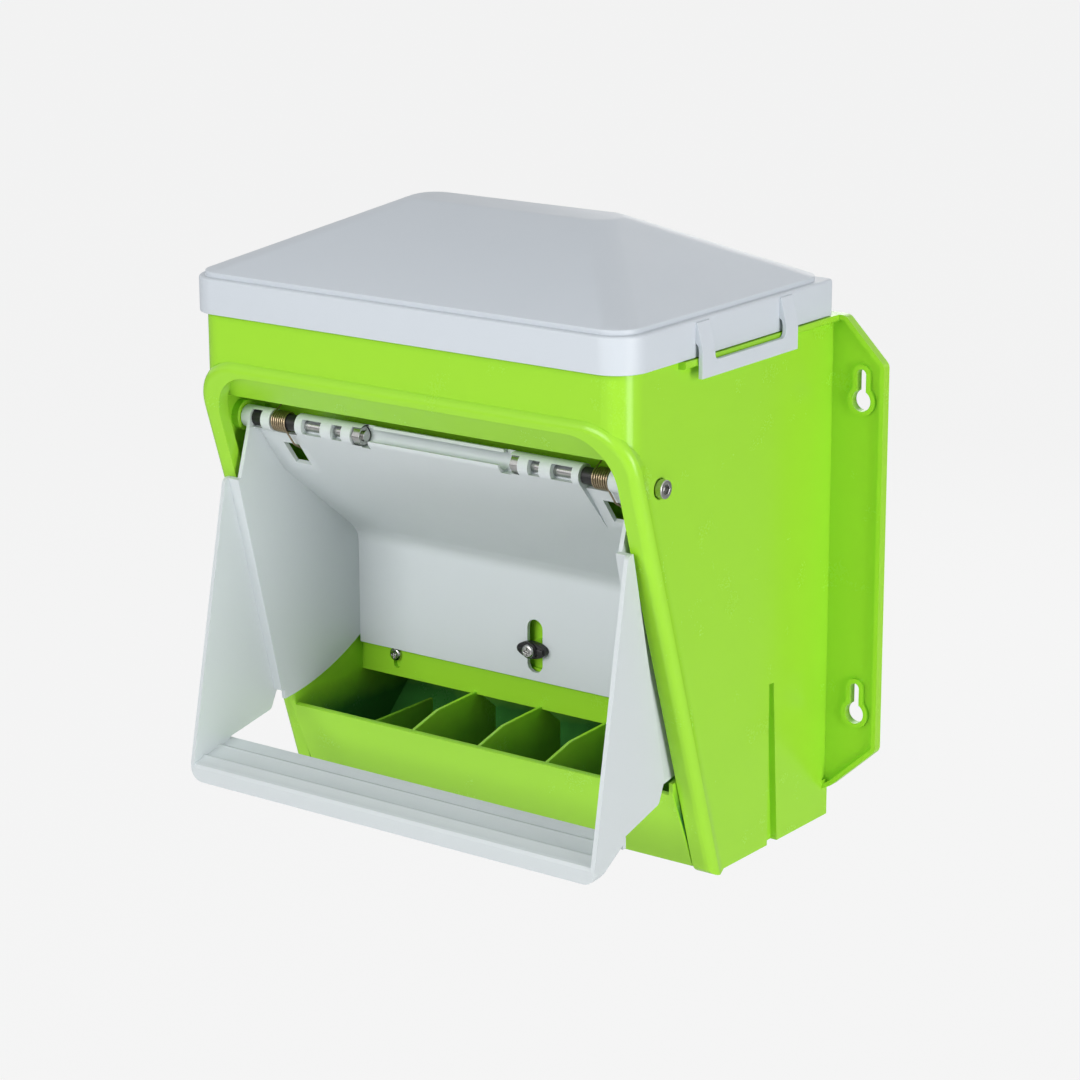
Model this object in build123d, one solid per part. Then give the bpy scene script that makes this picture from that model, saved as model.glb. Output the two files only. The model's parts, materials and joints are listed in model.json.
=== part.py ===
# Wall-mounted poultry feeder with a treadle flap, in millimetres.
# Heights are measured from the foot of the housing, most of them by way of the hinge axis,
# depths from the housing's back face (y = 0) and widths from the centre plane (x = 0).
# The front of the feeder looks towards -Y.
# At export every piece is lowered so that the centre of the four keyholes is the origin.

from build123d import *
from math import asin, atan2, cos, degrees, hypot, pi, radians, sin, sqrt
import os

os.makedirs("parts", exist_ok=True)

# Hinge axis, which the heights of the upper body, the inner wall, the flap and the trough follow
hinge_y = -166.4
hinge_height = 223.1

# Reach of the foot of the hood's sides, which the trough and the lock follow
hood_side_radius = 168.0

# Housing
body_half_width = 141.0
body_wall = 2.8
front_wall_y = -197.0
body_corner = 15.0
hopper_top = hinge_height + 76.9
shoulder_height = hinge_height + 62.4
upper_rear_y = -11.3

# Slanting front rim around the feeding opening
rim_half_width = 144.5
rim_top_height = hinge_height + 36.4
rim_top_y = -200.8
rim_slope = 0.3156
rim_depth = 8.4
rim_crown = 6.2
rim_flank = 15.0
rim_corner = 29.0
rim_round = 5.6
rim_tip_round = 9.0
opening_half_width = 132.0
opening_top = hinge_height + 29.4
opening_corner = 26.0

# Inner wall between the hopper and the feeding space
inner_wall = 2.5
screw_boss_depth = 6.0
soffit_back = (-184.0, hinge_height + 14.9)
crown_back = (-150.0, hinge_height + 14.4)
slope_top = (-138.5, hinge_height - 31.4)
inner_wall_y = -75.0
slope_foot_height = hinge_height - 81.3
inner_wall_foot = hinge_height - hood_side_radius + 0.9

# Guides that lead the feed into the trough
guide_top = hinge_height - hood_side_radius + 56.9
guide_bend = hinge_height - hood_side_radius + 37.9
guide_foot = hinge_height - hood_side_radius + 25.9
rear_guide_reach = 7.0

# Slots in the foot of the side walls
groove_front_y = -61.4
groove_height = 92.0
groove_top_width = 4.4
groove_foot_width = 10.2
groove_depth = 4.0
groove_wall = 2.0

# Wall flanges with keyholes
flange_half_width = 174.5
flange_plate = 2.8
flange_rim_width = 2.6
flange_rim_depth = 5.6
flange_top_reach = 150.0
flange_chamfer_top = 261.0
flange_chamfer_foot = 44.5
flange_foot_reach = 147.0
flange_foot_height = 19.5
flange_corner = 5.0
keyhole_spacing_x = 320.6
keyhole_spacing_z = 176.0
keyhole_low_height = 64.0
keyhole_radius = 5.8
keyhole_slot_width = 5.6
keyhole_slot_rise = 14.5
keyhole_boss = 2.6
keyhole_boss_depth = 5.0

# Ledge bars under the lid, which the lid latches grip
ledge_front_y = -151.0
ledge_reach = 4.8
ledge_height = 4.0
ledge_gap = 0.4

# Hinge barrel and screws
barrel_radius = 6.25
barrel_half_length = 133.0
screw_radius = 3.0
screw_length = 90.0
screw_head_radius = 5.0
screw_head_height = 6.0
screw_socket_flats = 5.0
screw_socket_depth = 3.2
head_recess_depth = 2.0
head_recess_clearance = 0.65
hinge_boss_radius = 8.4
hinge_boss_gap = 0.6
running_clearance = 0.08
nut_flats = 10.0
nut_height = 5.0
nut_position = 50.4
nut_clearance = 0.5
bush_radius = 4.6
bush_end_gap = 0.3
spring_gap_start = 94.8
spring_gap_end = 113.0
spring_room = 0.7
channel_half_length = 43.5
channel_radius = 4.7
window_spans = ((62.4, 69.6), (76.9, 90.2))
window_drop = 3.9
window_rise = 4.3
end_window_span = (119.2, 126.7)
end_window_drop = 4.8
end_window_rise = 5.1
nut_view = 2.6
nut_view_drop = 5.8
window_rear = 0.5
channel_lip = 1.0

# Torsion springs
spring_wire = 1.0
spring_turns = 6
spring_pitch = 1.45
spring_bush_gap = 0.3
spring_end_gap = 0.7
spring_body_leg = 16.4
spring_body_leg_lean = 31.8
spring_flap_leg = 11.0
spring_flap_bend = 25.0
spring_flap_bend_radius = 4.0
spring_flap_hook = 13.0
spring_slot_top = 10.0
spring_slot_foot = 27.0
spring_slot_gap = 0.4

# Flap: hood, wings and perch in one moulding
flap_wall = 2.4
hood_half_width = 128.6
ceiling_start = (-166.56, hinge_height - 5.35)
ceiling_knee = (-146.0, hinge_height - 33.1)
ceiling_foot = (-88.5, hinge_height - 78.3)
hood_rear_y = -82.5
hood_rear_top = hinge_height - 85.1
hood_rear_radius = 172.0
wing_rear_half_width = 133.8
wing_splay = 3.0
wing_back_top = (-181.6, hinge_height - 31.6)
wing_top = (-186.2, hinge_height - 31.6)
wing_notch_foot = (-191.0, hinge_height - 184.5)
wing_notch = (-188.0, hinge_height - 180.1)
wing_heel = (-155.6, hinge_height - 172.7)
wing_back_foot = (-150.2, hinge_height - 161.1)
wing_corner = 5.0
slot_width = 10.6
slot_length = 31.0
slot_height = hinge_height - hood_side_radius + 37.9
hood_bend = 12.0

# Perch bar
perch_back = (-187.0, hinge_height - 181.1)
perch_first_rib = (-197.5, hinge_height - 182.5)
perch_second_rib = (-209.5, hinge_height - 185.3)
perch_front = (-217.6, hinge_height - 188.7)
perch_front_foot = (-217.2, hinge_height - 198.5)
perch_groove = 1.2
perch_wall = 2.6
perch_half_width = 135.2
perch_back_height = 6.0
perch_end_half_width = 137.6
perch_front_corner = 8.0
perch_ribs = 7
perch_rib_wall = 2.0

# Sealing strip behind the foot of the hood
strip_half_width = 97.0
strip_thickness = 1.4
strip_height = 5.0
strip_radius = 174.9

# Trough
trough_half_width = 131.2
trough_wall = 2.5
trough_lip = (-138.5, hinge_height - hood_side_radius - 6.1)
trough_toe = (-119.5, hinge_height - hood_side_radius - 51.1)
trough_floor_back = -68.0
trough_ramp_top = hinge_height - hood_side_radius + 4.9
trough_rear_y = -5.0
trough_rail_gap = 0.3
trough_rail_foot = hinge_height - hood_side_radius - 0.1
trough_end_gap = 1.6
trough_notch_gap = 0.4
divider_wall = 2.0
divider_pitch = 46.0
divider_kink = (-113.0, hinge_height - hood_side_radius - 0.1)
divider_rear_height = hinge_height - hood_side_radius + 1.4
divider_low_height = hinge_height - hood_side_radius - 16.1
divider_back = -60.0
trough_screw_x = 103.0
trough_screw_height = hinge_height - hood_side_radius + 13.3
trough_slot_length = 11.0

# Small screws
small_screw_radius = 2.0
small_head_radius = 3.9
small_head_height = 2.4
small_screw_length = 12.0
small_screw_clearance = 0.3
cross_slot_width = 1.1
cross_slot_depth = 1.3

# Turning lock
lock_boss_radius = 4.4
lock_height = hinge_height - hood_side_radius + 36.5
lock_gap = 0.5
lock_washer_radius = 4.2
lock_washer_thickness = 0.6
lock_length = 19.6
lock_width = 9.4
lock_thickness = 5.0
lock_rib_height = 1.6

# Lid
lid_half_width = 144.5
lid_front_y = -201.6
lid_rear_y = -8.5
lid_wall = 2.4
lid_foot = hinge_height + 62.8
lid_skirt_top = hinge_height + 82.4
lid_corner = 18.5
lid_rear_corner = 3.5
lid_step = 3.5
lid_step_height = 2.5
lid_ridge_y = -98.0
lid_ridge_half_length = 54.0
lid_ridge_height = hinge_height + 119.9
lid_ridge_round = 13.0
lid_crown_round = 9.0
lid_skirt_round = 1.6
lid_seat_gap = 0.3

# Lid latches
latch_front_y = -141.0
latch_rear_y = -51.5
latch_wall = 2.4
latch_gap = 2.1
latch_lead = 0.9
latch_foot = hinge_height + 52.3
latch_bar_height = 8.0
latch_post_width = 11.5
latch_arch = hinge_height + 70.1
latch_shoulder = hinge_height + 66.5
latch_corner = 3.2
latch_hook_reach = 1.5
latch_hook_height = 2.4
latch_hook_gap = 0.4

right_side = 1
left_side = -1


def side_prism(points, x_from, x_to):
    """Solid between two x positions with a (y, z) outline."""
    face = make_face(Polyline(*points, close=True))
    return extrude(Plane.YZ.offset(x_from) * face, x_to - x_from)


def plan_prism(face, z_from, z_to):
    """Solid between two heights over a face drawn in (x, y)."""
    return extrude(Plane.XY.offset(z_from) * face, z_to - z_from)


def front_prism(face, y_from, y_to):
    """Solid from y_from forward to y_to over a face drawn in (x, z)."""
    return extrude(Plane.XZ.offset(-y_from) * face, y_from - y_to)


def polygon(points):
    """Face inside a closed outline."""
    return make_face(Polyline(*points, close=True))


def rod_x(x_from, x_to, y, z, radius):
    """Round bar along X."""
    disc = Pos(y, z) * Circle(radius)
    return extrude(Plane.YZ.offset(x_from) * disc, x_to - x_from)


def rod_y(x, z, y_from, y_to, radius):
    """Round bar along Y, from y_from forward to y_to."""
    return front_prism(Pos(x, z) * Circle(radius), y_from, y_to)


def both_sides(shape):
    """The shape and its mirror image across the centre plane."""
    return shape + mirror(shape, Plane.YZ)


def placed(shape, side):
    """The right-hand shape, or its mirror image for the left-hand side."""
    return shape if side == right_side else mirror(shape, Plane.YZ)


def sheet_outline(points, thickness):
    """Closed outline of a bent sheet: the given line and the same line moved to its left."""
    moved = []
    for index, (a, b) in enumerate(points):
        before = points[max(index - 1, 0)]
        after = points[min(index + 1, len(points) - 1)]
        first = (a, b) if before == (a, b) else before
        ins = (a - first[0], b - first[1])
        outs = (after[0] - a, after[1] - b)
        if ins == (0, 0):
            ins = outs
        if outs == (0, 0):
            outs = ins
        in_size = hypot(*ins)
        out_size = hypot(*outs)
        n1 = (-ins[1] / in_size, ins[0] / in_size)
        n2 = (-outs[1] / out_size, outs[0] / out_size)
        scale = thickness / (1 + n1[0] * n2[0] + n1[1] * n2[1])
        moved.append((a + (n1[0] + n2[0]) * scale, b + (n1[1] + n2[1]) * scale))
    return list(points) + moved[::-1]


def rim_y(height):
    """Depth of the slanting rim plane at a height."""
    return rim_top_y + rim_slope * (rim_top_height - height)


def swing_height(radius, y):
    """Height of the point below the hinge at a depth and a distance from the hinge axis."""
    return hinge_height - sqrt(radius ** 2 - (y - hinge_y) ** 2)


def rounded_plan(half_width, front, rear, front_round, rear_round):
    """Plan face with rounded front and rear corners."""
    face = polygon([(-half_width, front), (half_width, front), (half_width, rear), (-half_width, rear)])
    corners = face.vertices().sort_by(Axis.Y)
    face = fillet(corners[:2], front_round)
    if rear_round > 0:
        face = fillet(face.vertices().sort_by(Axis.Y)[-2:], rear_round)
    return face


def slot_face(width, length):
    """Upright slot with round ends, centred on its own origin."""
    return Rot(0, 0, 90) * SlotOverall(length, width)


def pan_screw(x, height, seat_y, length):
    """Pan head cross-slotted screw whose head stands forward of its seat."""
    head = rod_y(x, height, seat_y, seat_y - small_head_height, small_head_radius)
    head = fillet(head.edges().group_by(Axis.Y)[0], small_head_height * 0.55)
    shank = rod_y(x, height, seat_y + length, seat_y, small_screw_radius)
    reach = small_head_radius * 1.1
    front = seat_y - small_head_height
    cross = Box(reach, 2 * cross_slot_depth, cross_slot_width)
    cross += Box(cross_slot_width, 2 * cross_slot_depth, reach)
    return head + shank - Pos(x, front, height) * cross


# Housing shell
def make_shell():
    outer = plan_prism(
        rounded_plan(body_half_width, front_wall_y, 0, body_corner, 0), 0, shoulder_height
    )
    outer += plan_prism(
        rounded_plan(body_half_width, front_wall_y, upper_rear_y, body_corner, body_wall),
        shoulder_height, hopper_top,
    )
    inner_round = body_corner - body_wall
    half = body_half_width - body_wall
    front = front_wall_y + body_wall
    inner = plan_prism(
        rounded_plan(half, front, -body_wall, inner_round, 0), -1, shoulder_height - body_wall
    )
    inner += plan_prism(
        rounded_plan(half, front, upper_rear_y - body_wall, inner_round, body_wall * 0.4),
        shoulder_height - body_wall, hopper_top + 1,
    )
    lap = (front_wall_y - rim_top_y) / hypot(1, rim_slope)
    ahead = rim_plane * (Pos(0, 0, -lap) * extrude(rim_outline(), -front_wall_y))
    return outer - inner - ahead


# Outer line of the rim in its own slanting plane, carried on below the foot
def rim_outline():
    foot = -(rim_top_height + rim_flank) * hypot(1, rim_slope)
    corners = [(-rim_half_width, foot), (rim_half_width, foot), (rim_half_width, 0), (-rim_half_width, 0)]
    face = polygon(corners)
    return fillet(face.vertices().sort_by(Axis.Y)[-2:], rim_corner)


# Rim round the opening: a crowned front whose sides fade back into the side walls
def make_rim():
    spread = rim_half_width - body_half_width + body_wall / 8
    fade = degrees(atan2(spread, rim_flank - rim_crown))
    crown = extrude(rim_outline(), -rim_crown)
    front_edges = crown.faces().sort_by(Axis.Z)[-1].edges().sort_by(Axis.Y)[1:]
    crown = fillet(front_edges, rim_round)
    flank = Pos(0, 0, -rim_crown) * extrude(rim_outline(), -(rim_flank - rim_crown), taper=fade)
    band = rim_plane * (crown + flank)
    outline = [
        (rim_y(0) - rim_depth, 0), (rim_top_y - rim_depth, rim_top_height + body_wall),
        (front_wall_y + body_wall / 2, rim_top_height + body_wall),
        (rim_y(opening_top) + rim_depth, opening_top - rim_depth / 2), (rim_y(0) + rim_depth, 0),
    ]
    core = band & side_prism(outline, -rim_half_width, rim_half_width)
    sides = [
        (rim_y(0) - rim_depth, 0), (rim_top_y - rim_depth, rim_top_height),
        (rim_top_y + 2 * rim_flank, rim_top_height), (rim_y(0) + 2 * rim_flank, 0),
    ]
    side = band & side_prism(sides, body_half_width - body_wall / 2, rim_half_width)
    hole = polygon([
        (-opening_half_width, -10), (opening_half_width, -10),
        (opening_half_width, opening_top), (-opening_half_width, opening_top),
    ])
    hole = fillet(hole.vertices().sort_by(Axis.Y)[-2:], opening_corner)
    return core + both_sides(side) - front_prism(hole, 0, rim_top_y - 20)


# Corner between the foot and the rim of a side wall, rounded off
def tip_cutter():
    lean = hypot(1, rim_slope)
    up = (-rim_slope / lean, 1 / lean)
    reach = rim_tip_round * (1 + up[0]) / up[1]
    corner = (rim_y(0), 0)
    foot_end = (corner[0] + reach, 0)
    rim_end = (corner[0] + reach * up[0], reach * up[1])
    centre = (foot_end[0], rim_tip_round)
    bisector = (corner[0] - centre[0], corner[1] - centre[1])
    size = hypot(*bisector)
    middle = (centre[0] + bisector[0] / size * rim_tip_round, centre[1] + bisector[1] / size * rim_tip_round)
    line = ThreePointArc(rim_end, middle, foot_end) + Polyline(
        foot_end, (foot_end[0], -rim_depth), (corner[0] - rim_flank, -rim_depth),
        (corner[0] - rim_flank, rim_end[1]), rim_end,
    )
    return extrude(Plane.YZ * make_face(line), rim_half_width + 1, both=True)


# Chute: soffit over the hinge, slope behind the hood and wall with the lock boss. It is moulded
# with the housing, and is drawn apart from it where it meets the side walls and the rim
def make_chute(housing):
    line = [
        (rim_y(opening_top) + body_wall / 2, opening_top), soffit_back, crown_back, slope_top,
        (inner_wall_y, slope_foot_height), (inner_wall_y, inner_wall_foot),
    ]
    half = body_half_width - body_wall
    chute = side_prism(sheet_outline(line, inner_wall), -half, half)
    chute += rod_y(0, lock_height, inner_wall_y + inner_wall, hood_rear_y - lock_gap + lock_washer_thickness,
                   lock_boss_radius)
    wall_back = inner_wall_y + inner_wall
    pilot = rod_y(0, lock_height, wall_back + 1, hood_rear_y - small_screw_length, small_screw_radius)
    back = wall_back + screw_boss_depth
    for x in (-trough_screw_x, trough_screw_x):
        chute += rod_y(x, trough_screw_height, back, inner_wall_y, small_head_radius)
        pilot += rod_y(x, trough_screw_height, back + 1, inner_wall_y - 1, small_screw_radius)
    room = rounded_plan(half, front_wall_y, 0, body_corner, 0)
    return (chute & plan_prism(room, 0, hopper_top)) - pilot - housing


# Guides above the trough ends and above its rear wall
def make_guides():
    half = body_half_width - body_wall / 2
    edge = trough_half_width - trough_wall - 2
    front = inner_wall_y + inner_wall
    rear = -body_wall / 2
    face = polygon([
        (half, guide_top), (edge, guide_bend), (edge, guide_foot),
        (edge - 2, guide_foot), (edge - 2, guide_bend + 1), (half, guide_top + 3),
    ])
    side = front_prism(face, rear, front)
    back = side_prism(
        [
            (rear, guide_top), (rear, guide_top + 3), (-rear_guide_reach - 2, guide_bend),
            (-rear_guide_reach - 2, guide_foot), (-rear_guide_reach, guide_foot),
            (-rear_guide_reach, guide_bend),
        ],
        -half, half,
    )
    return both_sides(side) + back


# Channels behind the slots in the side walls
def groove_box(margin, depth):
    top = groove_height + margin
    front = groove_front_y - margin
    outline = [
        (front, 0 if margin else -5), (front, top), (groove_front_y + groove_top_width + margin, top),
        (groove_front_y + groove_foot_width + margin, 0 if margin else -5),
    ]
    return side_prism(outline, body_half_width - depth, body_half_width + (0 if margin else 1))


# Wall flange with its forward rim and two keyholes
def make_flange():
    points = [
        (body_half_width - 1, shoulder_height), (flange_top_reach, shoulder_height),
        (flange_half_width, flange_chamfer_top), (flange_half_width, flange_chamfer_foot),
        (flange_foot_reach, flange_foot_height), (body_half_width - 1, flange_foot_height - 3.9),
    ]
    face = polygon(points)
    outer_corners = face.vertices().sort_by(Axis.X)[2:]
    face = fillet(outer_corners, flange_corner)
    plate = front_prism(face, 0, -flange_plate)
    inner = offset(face, amount=-flange_rim_width)
    inner += Pos(-flange_rim_width - 1, 0) * inner
    rim = front_prism(face, 0, -flange_rim_depth) - front_prism(inner, 1, -flange_rim_depth - 1)
    flange = plate + rim
    for height in keyhole_heights:
        hole = keyhole_face(height, 0)
        boss = keyhole_face(height, keyhole_boss)
        flange += front_prism(boss, 0, -keyhole_boss_depth)
        flange -= front_prism(hole, 1, -keyhole_boss_depth - 1)
    return flange


def keyhole_face(height, margin):
    """Keyhole outline in (x, z), grown by a margin: round hole with a slot above it."""
    x = keyhole_spacing_x / 2
    round_part = Pos(x, height) * Circle(keyhole_radius + margin)
    width = keyhole_slot_width + 2 * margin
    length = keyhole_slot_rise + width
    slot = Pos(x, height + keyhole_slot_rise / 2) * slot_face(width, length)
    return round_part + slot


def make_ledge():
    top = lid_foot - ledge_gap
    face = polygon([
        (body_half_width - 1, top), (body_half_width + ledge_reach, top),
        (body_half_width + ledge_reach, top - ledge_height + 1.2),
        (body_half_width + ledge_reach - 1.2, top - ledge_height), (body_half_width - 1, top - ledge_height),
    ])
    return front_prism(face, -flange_plate / 2, ledge_front_y)


def make_housing():
    body = make_shell() + make_rim() + make_guides()
    body += both_sides(groove_box(groove_wall, groove_depth + groove_wall))
    body += both_sides(make_flange())
    body += both_sides(make_ledge())
    wall_inside = body_half_width - body_wall
    boss_end = barrel_half_length + hinge_boss_gap
    boss = rod_x(boss_end, wall_inside + 0.5, hinge_y, hinge_height, hinge_boss_radius)
    body += both_sides(boss)
    recess = rod_x(
        body_half_width - head_recess_depth, body_half_width + 1, hinge_y, hinge_height,
        screw_head_radius + head_recess_clearance,
    )
    bore = rod_x(barrel_half_length, body_half_width, hinge_y, hinge_height, screw_radius + running_clearance)
    body -= both_sides(recess + bore)
    body -= both_sides(groove_box(0, groove_depth))
    return body - tip_cutter()


# Space above the trough's outer faces, as far back as the ramp's end
def trough_inside(ramp_end):
    return side_prism(
        [
            trough_lip, trough_toe, (trough_floor_back, trough_toe[1]), (ramp_end, trough_ramp_top),
            (ramp_end, hinge_height), (trough_lip[0], hinge_height),
        ],
        -trough_half_width, trough_half_width,
    )


# Dividers of the trough. They are moulded with it, and are drawn apart from it where they meet it
def make_dividers(trough):
    rail_back = inner_wall_y - trough_rail_gap
    floor = trough_toe[1] + trough_wall / 2
    tall = [
        (trough_lip[0] + 1, trough_lip[1] - 1), (trough_lip[0] + 3, trough_lip[1]), divider_kink,
        (rail_back - trough_wall / 2, divider_rear_height), (rail_back, trough_rail_foot),
        (divider_back, trough_rail_foot - 12), (divider_back, floor), (trough_toe[0], floor),
    ]
    low = [
        (trough_lip[0] + 6, divider_low_height), (divider_back, divider_low_height),
        (divider_back, floor), (trough_toe[0], floor),
    ]
    room = trough_inside(trough_rear_y - trough_wall)
    plates = []
    for index in range(-2, 3):
        middle = index * divider_pitch
        outline = tall if abs(index) < 2 else low
        plate = side_prism(outline, middle - divider_wall / 2, middle + divider_wall / 2)
        plates.append((plate & room) - trough)
    return Compound(plates)


# Trough with rail, end walls and ramp
def make_trough():
    wall = trough_wall
    inside = trough_half_width - wall
    rail_back = inner_wall_y - trough_rail_gap
    rail_front = rail_back - wall
    basin = sheet_outline(
        [
            (trough_rear_y, trough_ramp_top + 12), (trough_rear_y - wall, trough_ramp_top),
            (trough_floor_back, trough_toe[1]), trough_toe, trough_lip,
        ][::-1],
        wall,
    )
    basin = side_prism(basin, -trough_half_width, trough_half_width)
    rail_top = swing_height(trough_end_radius, rail_front)
    rail = Box(
        2 * trough_half_width, wall, rail_top - trough_rail_foot, align=(Align.CENTER, Align.MAX, Align.MIN)
    )
    rail = Pos(0, rail_back, trough_rail_foot) * rail
    lip_top = (trough_lip[0], swing_height(trough_end_radius, trough_lip[0]))
    arc_middle_y = (trough_lip[0] + rail_back) / 2
    arc_middle = (arc_middle_y, swing_height(trough_end_radius, arc_middle_y))
    end_line = (
        ThreePointArc(lip_top, arc_middle, (rail_back, swing_height(trough_end_radius, rail_back)))
        + Polyline(
            (rail_back, swing_height(trough_end_radius, rail_back)), (trough_rear_y, rail_top),
            (trough_rear_y, trough_ramp_top), (trough_floor_back, trough_toe[1]), trough_toe, trough_lip,
            lip_top,
        )
    )
    end_wall = extrude(Plane.YZ.offset(inside) * make_face(end_line), wall)
    notch = Box(
        2 * trough_half_width + 2, inner_wall + 2 * trough_notch_gap, rail_top,
        align=(Align.CENTER, Align.MIN, Align.MIN),
    )
    notch_front = rail_back + trough_rail_gap - trough_notch_gap
    end_walls = both_sides(end_wall) - Pos(0, notch_front, trough_rail_foot) * notch
    trough = basin + rail + end_walls
    trough = trough & trough_inside(trough_rear_y)
    slots = slot_face(2 * (small_screw_radius + small_screw_clearance), trough_slot_length)
    centre = trough_screw_height - trough_slot_length / 2 + small_screw_radius + small_screw_clearance
    for x in (-trough_screw_x, trough_screw_x):
        trough -= front_prism(Pos(x, centre) * slots, rail_back + 1, rail_front - 1)
    return trough


# Flap
def hinge_rod(x_from, x_to, radius):
    """Round bar on the hinge axis."""
    return rod_x(x_from, x_to, hinge_y, hinge_height, radius)


def front_window(x_from, x_to, below, above, rear):
    """Cut from the front into the barrel, between two distances below and above the hinge axis."""
    outline = [(-barrel_radius * 2, -below), (-barrel_radius * 2, above), (-rear, above), (-rear, -below)]
    return side_prism([(hinge_y + a, hinge_height + b) for a, b in outline], x_from, x_to)


def make_barrel_hollow():
    """Everything that is hollow in the right half of the barrel."""
    nut_end = nut_position + nut_height + nut_clearance
    nut_start = nut_position - nut_clearance
    nut_room = nut_flats / sqrt(3) + nut_clearance / 2
    hollow = hinge_rod(-1, nut_start, channel_radius)
    hollow += hinge_rod(nut_start, nut_end, nut_room)
    hollow += front_window(nut_start, nut_end, nut_flats / 2, nut_flats / 2, -1)
    hollow += hinge_rod(nut_end, spring_gap_start, screw_radius + running_clearance)
    hollow += hinge_rod(spring_gap_start, spring_gap_end, barrel_radius + spring_room)
    hollow += hinge_rod(spring_gap_end, barrel_half_length + 1, bush_radius + running_clearance)
    for start, end in window_spans:
        hollow += front_window(start, end, window_drop, window_rise, window_rear)
    hollow += front_window(*end_window_span, end_window_drop, end_window_rise, window_rear)
    hollow += front_window(channel_half_length, nut_start, nut_view_drop, 2 * barrel_radius, -nut_view)
    mouth = [
        (-30, -channel_lip), (-30, 30), (4, 30), (-1, channel_radius - 0.3),
        (-channel_radius / 2, -channel_lip),
    ]
    mouth = [(hinge_y + a, hinge_height + b) for a, b in mouth]
    return hollow + side_prism(mouth, -1, channel_half_length)


def hood_line():
    """Inner face of the hood, from the barrel down to the foot of its rear wall."""
    foot = swing_height(hood_rear_radius, hood_rear_y)
    return [ceiling_start, ceiling_knee, ceiling_foot, (hood_rear_y, hood_rear_top), (hood_rear_y, foot)]


def ceiling_point(along, out):
    """Point at a distance down the ceiling from its start and a distance behind its inner face."""
    way_y = ceiling_knee[0] - ceiling_start[0]
    way_z = ceiling_knee[1] - ceiling_start[1]
    size = hypot(way_y, way_z)
    way_y, way_z = way_y / size, way_z / size
    return (ceiling_start[0] + along * way_y - out * way_z, ceiling_start[1] + along * way_z + out * way_y)


def make_hood():
    inside = hood_half_width - flap_wall
    hood = side_prism(sheet_outline(hood_line(), flap_wall), -inside, inside)
    bends = [
        e for e in hood.edges()
        if e.length > inside and min(
            hypot(e.center().Y - a, e.center().Z - b) for a, b in hood_line()[2:4]) < flap_wall * 1.6
    ]
    hood = fillet(bends, hood_bend)
    side_foot_back = (hood_rear_y + flap_wall, swing_height(hood_side_radius, hood_rear_y + flap_wall))
    front_foot_y = wing_back_foot[0] + 0.5
    side_foot_front = (front_foot_y, swing_height(hood_side_radius, front_foot_y))
    middle_y = (side_foot_back[0] + side_foot_front[0]) / 2
    arc = ThreePointArc(side_foot_back, (middle_y, swing_height(hood_side_radius, middle_y)), side_foot_front)
    outline = arc + Polyline(
        side_foot_front, wing_back_foot, wing_back_top, (hinge_y - barrel_radius + 0.6, hinge_height - 1),
        (hinge_y, hinge_height), ceiling_point(0, flap_wall),
        ceiling_point(ceiling_run - 0.5, 0.96 * flap_wall), (ceiling_foot[0] + 1, ceiling_foot[1] + 1.5),
        (hood_rear_y + flap_wall, hood_rear_top),
        side_foot_back,
    )
    side = extrude(Plane.YZ.offset(hood_half_width - flap_wall) * make_face(outline), flap_wall)
    return hood + both_sides(side)


def make_brow():
    """Solid that leads the front of the barrel smoothly into the ceiling between the springs."""
    reach = hypot(ceiling_knee[0] - hinge_y, ceiling_knee[1] - hinge_height)
    lean = atan2(hinge_height - ceiling_knee[1], hinge_y - ceiling_knee[0]) + asin(barrel_radius / reach)
    run = sqrt(reach ** 2 - barrel_radius ** 2)
    touch = (ceiling_knee[0] + run * cos(lean), ceiling_knee[1] + run * sin(lean))
    outline = [ceiling_knee, touch, (hinge_y, hinge_height), ceiling_point(4, flap_wall / 2)]
    return side_prism(outline, 0, spring_gap_start)


def make_wing():
    inner = wing_rear_half_width - flap_wall
    outline = polygon([
        wing_back_top, wing_top, perch_front, perch_front_foot, wing_notch_foot, wing_notch, wing_heel,
        wing_back_foot,
    ])
    for point, radius in ((wing_top, 0.8 * wing_corner), (wing_heel, 0.6 * wing_corner)):
        corner = [v for v in outline.vertices() if hypot(v.X - point[0], v.Y - point[1]) < 0.1]
        outline = fillet(corner, radius)
    wing = extrude(Plane.YZ.offset(inner) * outline, flap_wall)
    pivot = Pos(wing_rear_half_width, wing_back_foot[0])
    wing = pivot * Rot(0, 0, wing_splay) * pivot.inverse() * wing
    lead = (wing_back_top[0] - wing_back_foot[0], wing_back_top[1] - wing_back_foot[1])
    size = hypot(*lead)
    across = (-lead[1] / size * flap_wall, lead[0] / size * flap_wall)
    web = side_prism(
        [wing_back_foot, wing_back_top, (wing_back_top[0] + across[0], wing_back_top[1] + across[1]),
         (wing_back_foot[0] + across[0], wing_back_foot[1] + across[1])],
        hood_half_width - flap_wall, wing_rear_half_width - flap_wall / 8,
    )
    return wing + web


def round_ends(shape):
    """The shape with the lower corners of its ends rounded in the front view."""
    half = perch_end_half_width
    foot = perch_front_foot[1]
    trim = polygon([(-half, foot), (half, foot), (half, hinge_height), (-half, hinge_height)])
    trim = fillet(trim.vertices().sort_by(Axis.Y)[:2], perch_front_corner)
    return shape & front_prism(trim, 0, perch_front[0] - perch_front_corner)


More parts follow.
